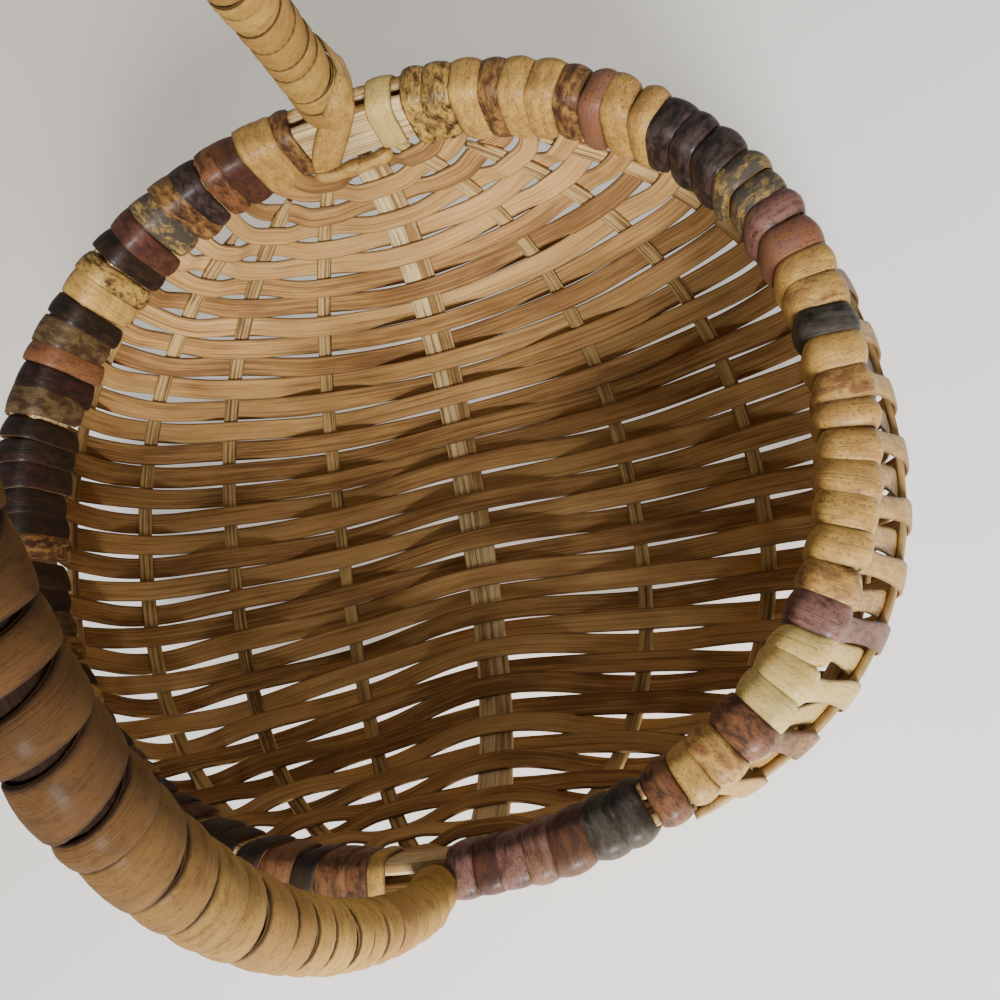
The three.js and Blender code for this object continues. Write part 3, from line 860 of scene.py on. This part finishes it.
class BASKET_OT_ribs(BasketOperator, bpy.types.Operator):
    """Split the ribs and bow them from one ear to the other"""

    bl_idname = "basket.ribs"
    bl_label = "Ribs"

    def execute(self, context):
        sizes, colours = self.sizes_and_colours(context)
        weave = Weave(sizes)
        broad = straw_finish("grooved_rib", colours.straw, colours.straw_dark, 0.95, 0.0013)
        narrow = straw_finish("split_rib", colours.rib, colours.rib_dark, 1.5, 0.0007)
        for place in range(1 - RIM, RIM):
            self.rib(weave, place, broad if place == 0 else narrow)
        return {"FINISHED"}

    def rib(self, weave, place, finish):
        """One rib: its course at even steps, as wide as the rib and narrowed towards its tips.

        The tips of a rib that starts some rows in bend out of the basket, to lie on the weave.
        """
        sizes = weave.sizes
        first = FIRST_ROWS[abs(place)]
        rows = np.linspace(first - 0.4, ROWS - first + 0.4, 150)
        if first == 0:
            course = weave.ribs[abs(place)]
            spare = sizes.ear_clearance * 0.6 / (course.length - 2 * sizes.ear_clearance) * ROWS
            rows = np.linspace(-spare, ROWS + spare, 160)
        centre = weave.point(place, rows)
        inner = np.clip(rows, 0, ROWS)
        nearby = np.full(len(rows), 0.02)
        across = weave.surface(place + nearby, inner) - weave.surface(place - nearby, inner)
        width, thickness = weave.rib_size(place)
        from_tip = np.minimum(rows - rows[0], rows[-1] - rows)
        taper = 0.35 + 0.65 * eased(from_tip / 1.3)
        if first > 0:
            outward = unit(np.cross(across, np.gradient(centre, axis=0)))
            centre += outward * (0.8 * MM * (1 - eased(from_tip / 1.5)))[:, None]
        rng = np.random.default_rng(40 + place)
        width = width * taper * (1 + 0.03 * waves(rng, rows, 14.0))
        strip = sweep(centre, across, width, thickness, section(7, 0.18 if place else 0.1))
        side = "left" if place < 0 else "right"
        node = f"{side}_rib_{abs(place)}" if place else "centre_rib"
        build(f"{node}_split", strip, finish, [node], seed=9.1 * (place + RIM))


class BASKET_OT_rim(BasketOperator, bpy.types.Operator):
    """Bend the two flat hoops of the rim"""

    bl_idname = "basket.rim"
    bl_label = "Rim hoops"

    def execute(self, context):
        sizes, colours = self.sizes_and_colours(context)
        weave = Weave(sizes)
        finish = straw_finish("hoop_straw", colours.straw, colours.straw_dark, 1.8, 0.0005)
        length = weave.rim.length
        hidden_joint = 90 * MM
        distance = (np.linspace(0, 2 * length, 360, endpoint=False) + hidden_joint) % (2 * length)
        middle, _, outward = rim_frame(weave, 1, distance)
        from_foot = np.minimum(distance, 2 * length - distance)
        droop = weave.droop(1, distance) * (1 - 0.7 * eased(from_foot / (40 * MM)))
        for node, side in zip(HOOPS, (-1, 1)):
            centre = middle + outward * side * (sizes.hoop_slot + sizes.hoop_thickness) / 2
            centre[:, 2] -= droop / 2
            height = HOOP_HEIGHT + droop
            band = sweep(centre, UP, height, sizes.hoop_thickness, section(7, 0.06), closed=True)
            build(f"{node}_bent", band, finish, [node], seed=5.0 * side)
        return {"FINISHED"}


class BASKET_OT_handle(BasketOperator, bpy.types.Operator):
    """Bend the rod of the bow handle and wind the cane round it"""

    bl_idname = "basket.handle"
    bl_label = "Handle"

    def execute(self, context):
        sizes, colours = self.sizes_and_colours(context)
        bow = self.bow(sizes)
        shoulder = HOOP_HEIGHT / 2 + sizes.seat_gap
        self.rod(bow, shoulder, sizes, colours)
        self.cane(bow, shoulder + 4.2 * MM, sizes, colours)
        return {"FINISHED"}

    def bow(self, sizes):
        """The handle's middle line: a squarish half circle from foot to foot that leans and steps out.

        The lean is a sine of the angle from foot to foot. The step is the fourth power of the
        share of the angle, and it falls away over the last eighth of the rise.
        """
        angle = np.linspace(0, np.pi, 4001)
        sine, cosine = rounded(angle, sizes.handle_power)
        step = sizes.handle_foot_step * (angle / np.pi) ** 4 * np.minimum(8 * sine, 1)
        across = sizes.handle_lean_x * np.sin(angle)
        lengthwise = sizes.rim_reach_y * cosine - sizes.handle_lean_y * np.sin(angle) - step
        return Course(np.stack([across, lengthwise, RIM_LEVEL + sizes.handle_rise * sine], -1))

    def radius(self, sizes, share):
        """The rod's radius at a share of the way along the bow."""
        return sizes.rod_radius + sizes.handle_swell * (1 - 2 * share)

    def rod(self, bow, shoulder, sizes, colours):
        """A round rod, cut down to a flat tongue in the rim's slot below the shoulder at each end."""
        foot = np.array([0, shoulder, shoulder + 0.8 * MM])
        between = np.linspace(shoulder + 2 * MM, bow.length - shoulder - 2 * MM, 160)
        distance = np.concatenate([foot, between, bow.length - foot[::-1]])
        full = np.concatenate([[0, 0, 0.8], np.ones(len(between)), [0.8, 0, 0]])
        tongue_width, tongue_thickness = 9 * MM, 1.8 * MM
        round_width = 2 * self.radius(sizes, distance / bow.length)
        width = tongue_width + (round_width - tongue_width) * full
        thickness = tongue_thickness + (round_width - tongue_thickness) * full
        sideways = np.array([1.0, 0.0, 0.0])
        rod = sweep(bow.at(distance), sideways, width, thickness, round_outline())
        finish = rod_finish("bow_rod_wood", colours)
        build("handle_rod_bent", rod, finish, ["handle_core"], seed=1.0)

    def cane(self, bow, start, sizes, colours):
        """One strip wound all the way: it turns round the rod while it moves along the bow.

        It starts and ends with most of a turn that is level. In between its steps along the bow
        wander, and each turn is about as wide as the step there. Towards the foot at -Y it is
        narrower on its right side, so that the dark rod shows in slits there, its dark colour
        partly painted shade. Its radius is the rod's, the gap and half the strip. The tilt lays
        each turn's edge over its neighbour's like a scale. The skin is browned from a third of
        the way along to near the end, partly its own browning and partly painted shade, and its
        edges are darkened as painted shade between the turns.
        """
        rng = np.random.default_rng(11)
        steps_per_turn = 22
        level = 0.8
        turns = sizes.cane_turns
        turn = np.linspace(0, turns, turns * steps_per_turn + 1)
        pitch = (bow.length - 2 * start) / (turns - 2 * level)
        drift = 0.15 * pitch * waves(rng, turn, 3.1) * np.clip(np.minimum(turn, turns - turn) - 1, 0, 1)
        distance = start + pitch * np.clip(turn - level, 0, turns - 2 * level) + drift
        along = unit(bow.at(distance + 0.5 * MM) - bow.at(distance - 0.5 * MM))
        sideways = unit(np.cross(np.cross(along, [1.0, 0.0, 0.0]), along))
        outward = np.cross(along, sideways)
        share = distance / bow.length
        radius = (self.radius(sizes, share) + sizes.seat_gap + sizes.cane_thickness / 2)[:, None]
        angle = 2 * np.pi * turn[:, None]
        line = bow.at(distance) + radius * (sideways * np.cos(angle) + outward * np.sin(angle))
        worn = eased((share - 0.45) / 0.15)
        facing = np.clip(np.cos(angle[:, 0] - 0.4), 0, 1)
        slit = worn * facing * np.clip(0.2 + 0.12 * waves(rng, turn, 2.6), 0, 1)
        width = (pitch + np.gradient(drift, turn)) * (1.04 + 0.1 * waves(rng, turn, 2.3)) * (1 - slit)
        strip = sweep(
            line, along, width, sizes.cane_thickness * 0.8, section(9, 0.4), cup=0.25 * MM, tilt=0.4 * MM
        )
        # The cane's turns get strong painted shade at their edges, between the turns.
        finish = splint_finish("handle_cane", colours, edge_shade=0.95, edge_shade_start=0.8, gloss=0.35)
        main, second, _ = skin_tones(colours, "Y")
        golden = eased(waves(rng, strip["run"] * turns, 5.0) * 0.5 + 0.6)[:, None]
        # The skin darkens here partly by its own browning and partly as painted shade, from a third of the
        # way along to near the end.
        brown = eased((strip["run"] - 0.3) / 0.25)[:, None] * eased((0.9 - strip["run"]) / 0.2)[:, None]
        browning_and_shade = np.array(colours.browning_and_shade)
        main = main * 0.9 * golden + np.array(colours.tan) * (1 - golden)
        main = main * (1 - 0.97 * brown) + browning_and_shade * 0.62 * brown
        second = second * (1 - 0.97 * brown) + browning_and_shade * 0.4 * brown
        build(
            "handle_cane_wound", strip, finish, ["handle_cane_back", "handle_cane_front"],
            seed=2.0, tones=(main, second * 0.8, 0.3), shade=0.6,
        )


# The strips round the rim beside each foot: distance from the foot, lean and width in millimetres,
# and the skin. The first list is the foot at +Y and the second the foot at -Y; minus is the left side.
BACK_WRAPS = ((15.4, -2.2, 8, "L"), (-15.6, 0.4, 5.4, "D"), (-20.8, 0.6, 5.2, "Y"))
FRONT_WRAPS = (
    (6.5, 0.5, 6.5, "U"), (12.8, 0.5, 6, "R"), (19, 1, 7.5, "U"), (-14.5, 0, 4.5, "T"), (-20, 0, 6.5, "M"),
)

# The handle cane's loose end at the foot at +Y, in millimetres from the rim's middle: its points
# from behind the bow, round the bow's right side and down the rim's inner face, and the way that
# its skin faces and its width at each
STRAP_POINTS = (
    (-3, 7.6, 27), (4.6, 7, 25.2), (9.2, 2.2, 21.2), (9.4, -0.5, 17.2), (8.8, -3.6, 16.6), (5.4, -7.6, 13.4),
    (-0.8, -6.7, 4.2), (-6.8, -6.5, -4.7), (-9.6, -5.4, -11),
)
STRAP_FACES = (
    (-0.3, 1, 0), (0.55, 0.85, 0), (1, 0.15, 0.1), (1, -0.1, 0.1), (0.85, -0.5, 0.1), (0.4, -0.9, 0.2),
    (0, -1, 0.1), (0, -1, -0.1), (0, -0.8, -0.6),
)
STRAP_WIDTHS = (5, 6, 7.5, 8, 8.6, 9.2, 9.4, 9.4, 9)

# A knobbly end of cane tucked under the inner hoop at the foot at +Y
KNOB_POINTS = ((-15, -4.8, -13.2), (-9, -5.6, -14.2), (-2, -5.2, -14.4), (5, -5.6, -13.8), (11, -4.2, -13.4))


class BASKET_OT_feet(BasketOperator, bpy.types.Operator):
    """Lash the handle's feet to the rim"""

    bl_idname = "basket.feet"
    bl_label = "Foot lashings"

    def execute(self, context):
        sizes, colours = self.sizes_and_colours(context)
        weave = Weave(sizes)
        finish = splint_finish("lashing_cane", colours)
        for node, wraps, at_back, seed in (
            ("foot_lashing_back", BACK_WRAPS, True, 21),
            ("foot_lashing_front", FRONT_WRAPS, False, 22),
        ):
            rng = np.random.default_rng(seed)
            shells = [
                self.wrap(weave, at_back, distance * MM, lean * MM, width * MM, rng)
                for distance, lean, width, letter in wraps
            ]
            letters = [wrap[-1] for wrap in wraps]
            if at_back:
                shells += [self.foot_strap(sizes), self.knob(sizes)]
                letters += ["T", "T"]
            counts = [len(shell["points"]) for shell in shells]
            tones = zip(*(skin_tones(colours, letter) for letter in letters))
            build(
                f"{node}_strips", joined(shells), finish, [node],
                seed=60.0, tones=[np.repeat(np.stack(values), counts, axis=0) for values in tones],
            )
        return {"FINISHED"}

    def wrap(self, weave, at_back, distance, lean, width, rng):
        """A strip once round the rim, its two ends meeting below."""
        side = 1 if distance > 0 else -1
        cup = rng.uniform(0.2, 0.5) * MM
        angle = np.radians(np.linspace(-98, 256, 40))
        run = np.abs(distance) + side * lean * (angle / np.pi - 0.5)
        if not at_back:
            run = weave.rim.length - run
        outward, rise = wrap_profile(weave.sizes, angle, cup, weave.droop(side, run))
        line, along = round_hoops(weave, side, run, outward, rise)
        return sweep(line, along * side, width, weave.sizes.splint_thickness, section(9, 0.2), cup=cup)

    def at_foot(self, sizes, points):
        """Points in millimetres from the rim's middle at the foot at +Y, in place."""
        return np.array(points) * MM + [0, sizes.rim_reach_y, RIM_LEVEL]

    def foot_strap(self, sizes):
        """The handle cane's loose end: a strip through its points with its skin the way it faces."""
        place = np.linspace(0, len(STRAP_POINTS) - 1, 60)
        line = through(self.at_foot(sizes, STRAP_POINTS), place)
        faces = through(np.array(STRAP_FACES, float), place)
        across = np.cross(faces, np.gradient(line, axis=0))
        width = through(np.array(STRAP_WIDTHS, float)[:, None], place)[:, 0] * MM
        return sweep(line, across, width, sizes.splint_thickness, section(9, 0.3), cup=0.3 * MM)

    def knob(self, sizes):
        """A round piece through its points: its breadth swells over two knobs and ends round.

        The breadth is the full one times a gentle cosine wave, times the root of 1 minus the
        eighth power of the share from the middle to an end.
        """
        place = np.linspace(0, len(KNOB_POINTS) - 1, 48)
        share = 2 * place / place[-1] - 1
        breadth = 4.6 * MM * (1 + 0.1 * np.cos(2.6 * np.pi * share))
        breadth *= np.sqrt(np.maximum(1 - share**8, 0.02))
        line = through(self.at_foot(sizes, KNOB_POINTS), place)
        return sweep(line, UP, breadth, breadth, round_outline())


# The camera's azimuth, elevation and roll in radians, its lens, and its place in millimetres from
# the rim's middle
CAMERA_AZIMUTH, CAMERA_ELEVATION, CAMERA_ROLL = -0.865, 1.248, -0.903
CAMERA_LENS = 30.99
CAMERA_SPOT = (73.92, -72.05, 208.74)

# Each lamp's azimuth and elevation in degrees, distance and breadth in metres, and power in watts
LAMPS = {
    "key_lamp": (-82, 29, 1.3, 0.4, 37.0),
    "fill_lamp": (40, 65, 1.5, 1.0, 3.0),
}

# The room's light from the walls up to the ceiling, by the height of the direction
WALLS_TO_CEILING = {"From Min": 0.2, "From Max": 0.65, "To Min": 0.55, "To Max": 0.06}


class BASKET_OT_stage(BasketOperator, bpy.types.Operator):
    """Set the floor, the light and the camera"""

    bl_idname = "basket.stage"
    bl_label = "Stage"

    def execute(self, context):
        self.floor(context.scene.basket_colours)
        self.light(context)
        self.camera(context)
        return {"FINISHED"}

    def floor(self, colours):
        """A plain square floor that glows a little as painted light, and is a little darker and warmer
        behind the basket's left as painted shade.
        """
        finish = Finish("pale_floor")
        place = finish.node("ShaderNodeTexCoord", {}, {}, "Object")
        clouds = finish.noise(place, (3.0, 3.0, 3.0), detail=2)
        product = {"operation": "DOT_PRODUCT"}
        reach = finish.node("ShaderNodeVectorMath", product, {0: place, 1: (0.6, -0.8, 0)}, "Value")
        near = finish.step(reach + clouds * 0.05, -0.35, 0.25)
        tone = finish.mix(near, colours.floor_shade, colours.floor)
        # The floor glows with its own colour: painted light that keeps it bright in the basket's shadow and
        # seen through the gaps, and lights the basket from below.
        finish.dress(Base_Color=tone, Roughness=0.85, Emission_Color=tone, Emission_Strength=0.62)
        half = 15.0
        corners = [(-half, -half, 0), (half, -half, 0), (half, half, 0), (-half, half, 0)]
        mesh = bpy.data.meshes.new("floor")
        mesh.from_pydata(corners, [], [(0, 1, 2, 3)])
        mesh.materials.append(finish.material)
        floor = bpy.data.objects.new("floor", mesh)
        bpy.context.scene.collection.objects.link(floor)

    def light(self, context):
        """A room with pale walls and a dim ceiling, a broad lamp low at the front and a weak one behind.

        The room's light falls with the height of the direction, from the walls to the ceiling.
        """
        world = bpy.data.worlds.new("pale_room")
        world.use_nodes = True
        nodes, links = world.node_tree.nodes, world.node_tree.links
        place = nodes.new("ShaderNodeTexCoord")
        parts = nodes.new("ShaderNodeSeparateXYZ")
        height = nodes.new("ShaderNodeMapRange")
        height.interpolation_type = "SMOOTHSTEP"
        for name, value in WALLS_TO_CEILING.items():
            height.inputs[name].default_value = value
        background = nodes["Background"]
        background.inputs["Color"].default_value = (0.97, 0.97, 1.0, 1)
        links.new(place.outputs["Object"], parts.inputs["Vector"])
        links.new(parts.outputs["Z"], height.inputs["Value"])
        links.new(height.outputs["Result"], background.inputs["Strength"])
        context.scene.world = world
        for name, (azimuth, elevation, distance, breadth, power) in LAMPS.items():
            lamp = bpy.data.lights.new(name, "AREA")
            lamp.size = breadth
            lamp.energy = power
            holder = bpy.data.objects.new(name, lamp)
            back = direction(math.radians(azimuth), math.radians(elevation))
            holder.matrix_world = aimed(back, back * distance + UP * RIM_LEVEL)
            context.scene.collection.objects.link(holder)

    def camera(self, context):
        """The camera over the bowl, looking steeply down."""
        camera = bpy.data.cameras.new("camera")
        camera.sensor_width = 36
        camera.lens = CAMERA_LENS
        camera.clip_start = 0.01
        holder = bpy.data.objects.new("camera", camera)
        back = direction(CAMERA_AZIMUTH, CAMERA_ELEVATION)
        spot = np.array(CAMERA_SPOT) * MM + UP * RIM_LEVEL
        holder.matrix_world = aimed(back, spot, CAMERA_ROLL)
        context.scene.collection.objects.link(holder)
        context.scene.camera = holder


def direction(azimuth, elevation):
    """The unit vector at an azimuth from +X round to +Y and an elevation above the ground."""
    level = math.cos(elevation)
    return np.array([level * math.cos(azimuth), level * math.sin(azimuth), math.sin(elevation)])


def aimed(back, spot, roll=0.0):
    """The matrix of a lamp or camera at a spot, with its back along a direction, rolled."""
    side = unit(np.cross(UP, back))
    up = np.cross(back, side)
    right = math.cos(roll) * side + math.sin(roll) * up
    up = math.cos(roll) * up - math.sin(roll) * side
    matrix = np.eye(4)
    matrix[:3] = np.stack([right, up, back, spot], -1)
    return Matrix(matrix.tolist())


class BASKET_PT_panel(bpy.types.Panel):
    """The basket's pieces, sizes and colours"""

    bl_idname = "BASKET_PT_panel"
    bl_label = "Splint Basket"
    bl_space_type = "VIEW_3D"
    bl_region_type = "UI"
    bl_category = "Basket"

    def draw(self, context):
        layout = self.layout
        for operator in OPERATORS:
            layout.operator(operator.bl_idname)
        for group in (context.scene.basket_sizes, context.scene.basket_colours):
            box = layout.box()
            for name in group.bl_rna.properties.keys():
                if name not in {"rna_type", "name"}:
                    box.prop(group, name)


OPERATORS = (
    BASKET_OT_ribs,
    BASKET_OT_rim,
    BASKET_OT_weavers,
    BASKET_OT_handle,
    BASKET_OT_feet,
    BASKET_OT_stage,
)
CLASSES = (BasketSizes, BasketColours, *OPERATORS, BASKET_PT_panel)


def register():
    for item in CLASSES:
        bpy.utils.register_class(item)
    bpy.types.Scene.basket_sizes = PointerProperty(type=BasketSizes)
    bpy.types.Scene.basket_colours = PointerProperty(type=BasketColours)


def unregister():
    del bpy.types.Scene.basket_colours
    del bpy.types.Scene.basket_sizes
    for item in reversed(CLASSES):
        bpy.utils.unregister_class(item)


def main():
    """Builds every piece in order."""
    register()
    bpy.ops.basket.ribs()
    bpy.ops.basket.rim()
    bpy.ops.basket.weavers()
    bpy.ops.basket.handle()
    bpy.ops.basket.feet()
    bpy.ops.basket.stage()
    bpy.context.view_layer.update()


if __name__ == "__main__":
    main()
